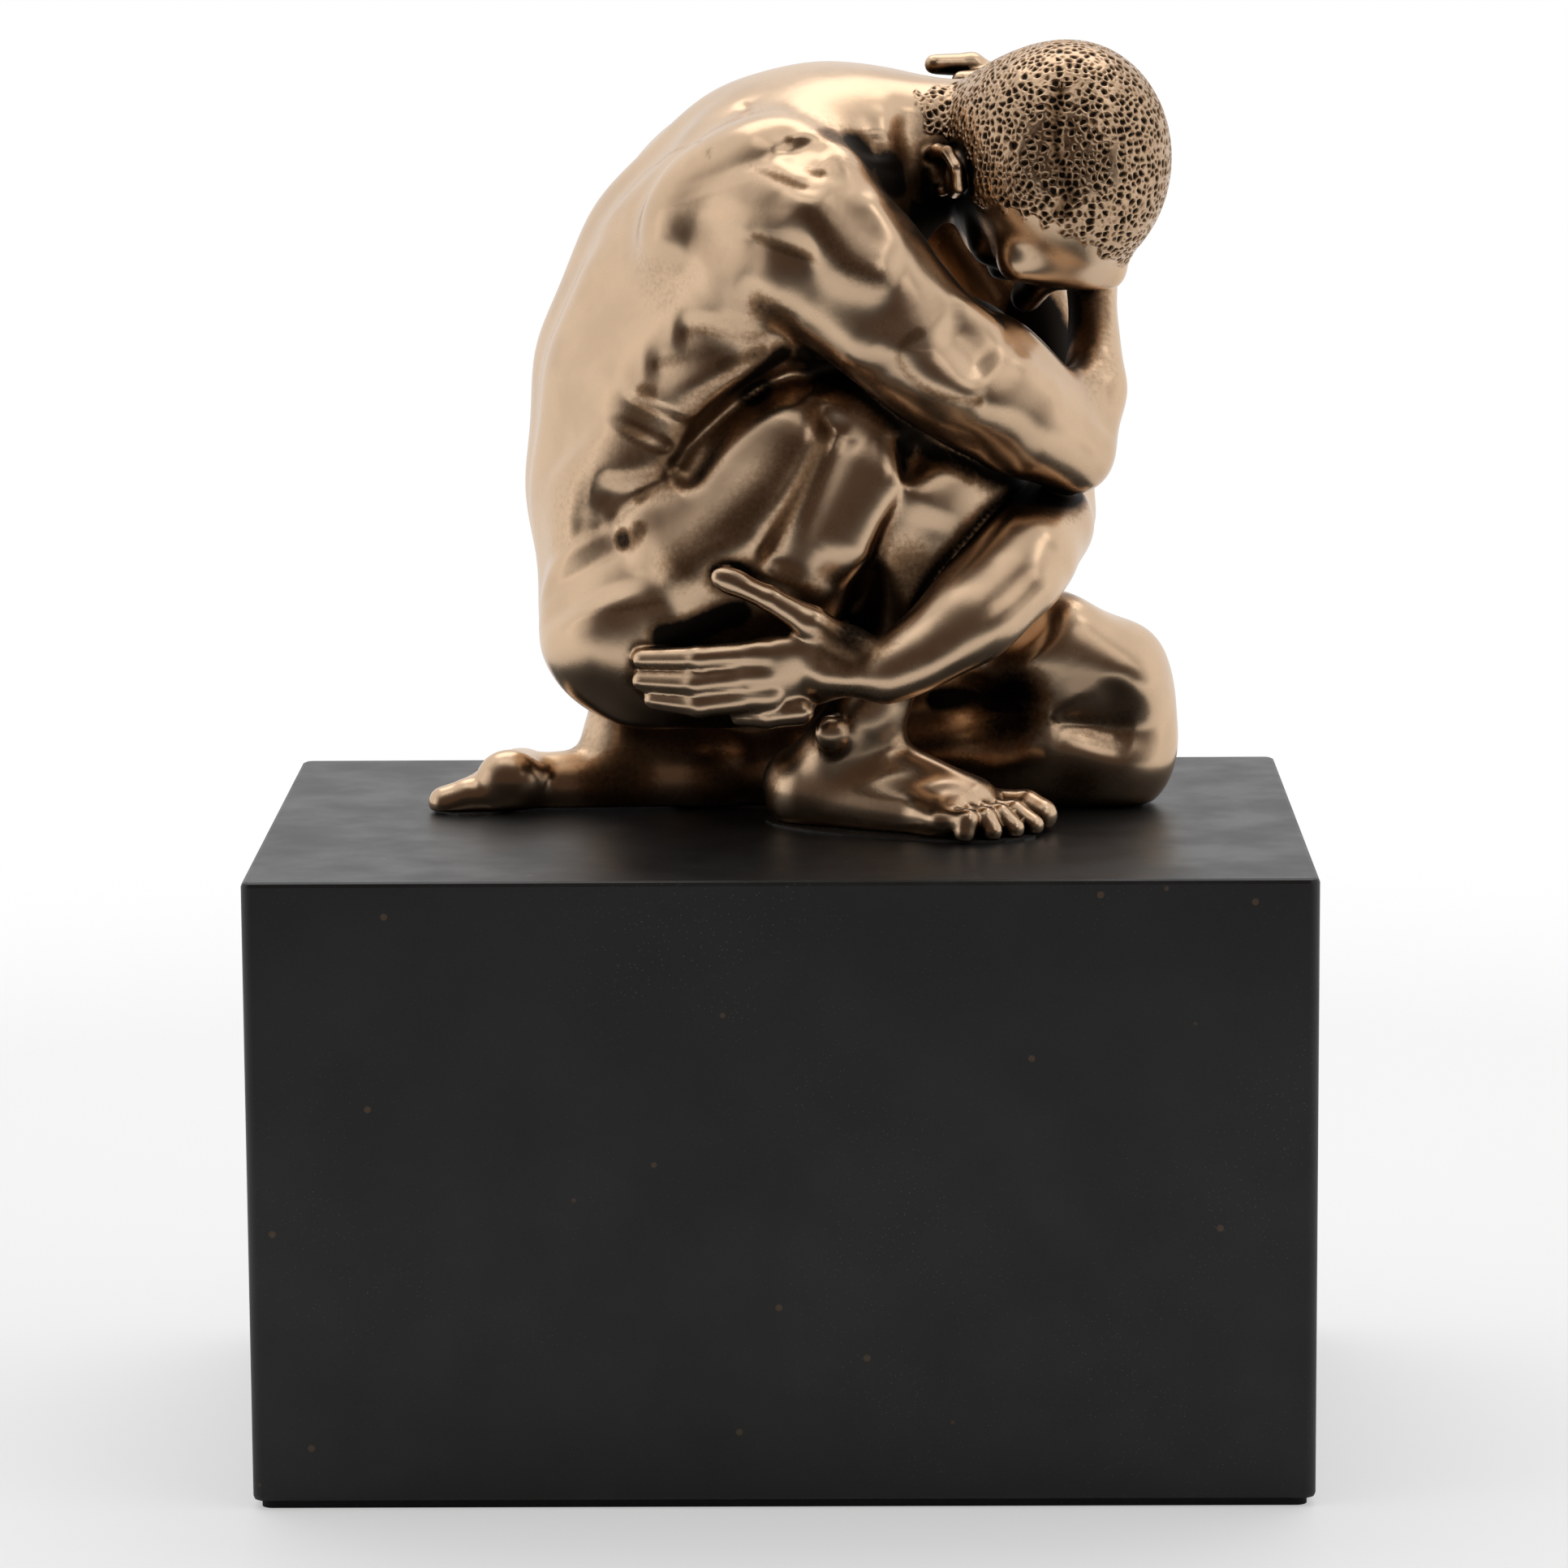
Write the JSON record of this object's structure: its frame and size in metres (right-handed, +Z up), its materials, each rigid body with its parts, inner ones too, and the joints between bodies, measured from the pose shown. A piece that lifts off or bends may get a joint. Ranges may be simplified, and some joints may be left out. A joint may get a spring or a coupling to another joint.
{
  "type": "crouching figure sculpture",
  "caption": "Desk sculpture of a nude male figure crouched on one knee, head bowed and arms folded round the knees, in a bronze finish on a tall black plinth.",
  "frame": {"origin": "middle of the felt's underside, where the plinth stands on a surface", "axes": "+Z up, +X the way the kneeling figure faces, -Y the figure's right side"},
  "size_m": [0.13, 0.09, 0.1761],
  "materials": {
    "bronze": "polished bronze skin over cast resin, dark patina in the hollows",
    "plinth": "satin black composite stone with fine grey speckle and soft bevelled edges",
    "felt": "black needled felt",
    "steel": "zinc plated",
    "adhesive": "glossy cured epoxy, squeezed out at the edges"
  },
  "bodies": {
    "root": {"base_block": "plinth", "felt_pad": "felt", "body": "bronze", "head": "bronze", "right_arm": "bronze", "left_arm": "bronze", "neck_dowel": "steel", "right_shoulder_dowel": "steel", "left_shoulder_dowel": "steel", "knee_stud": "steel", "knee_washer": "steel", "knee_nut": "steel", "heel_stud": "steel", "heel_washer": "steel", "heel_nut": "steel", "adhesive_right_foot": "adhesive", "adhesive_left_shin": "adhesive", "adhesive_left_toes": "adhesive"}
  },
  "joints": []
}
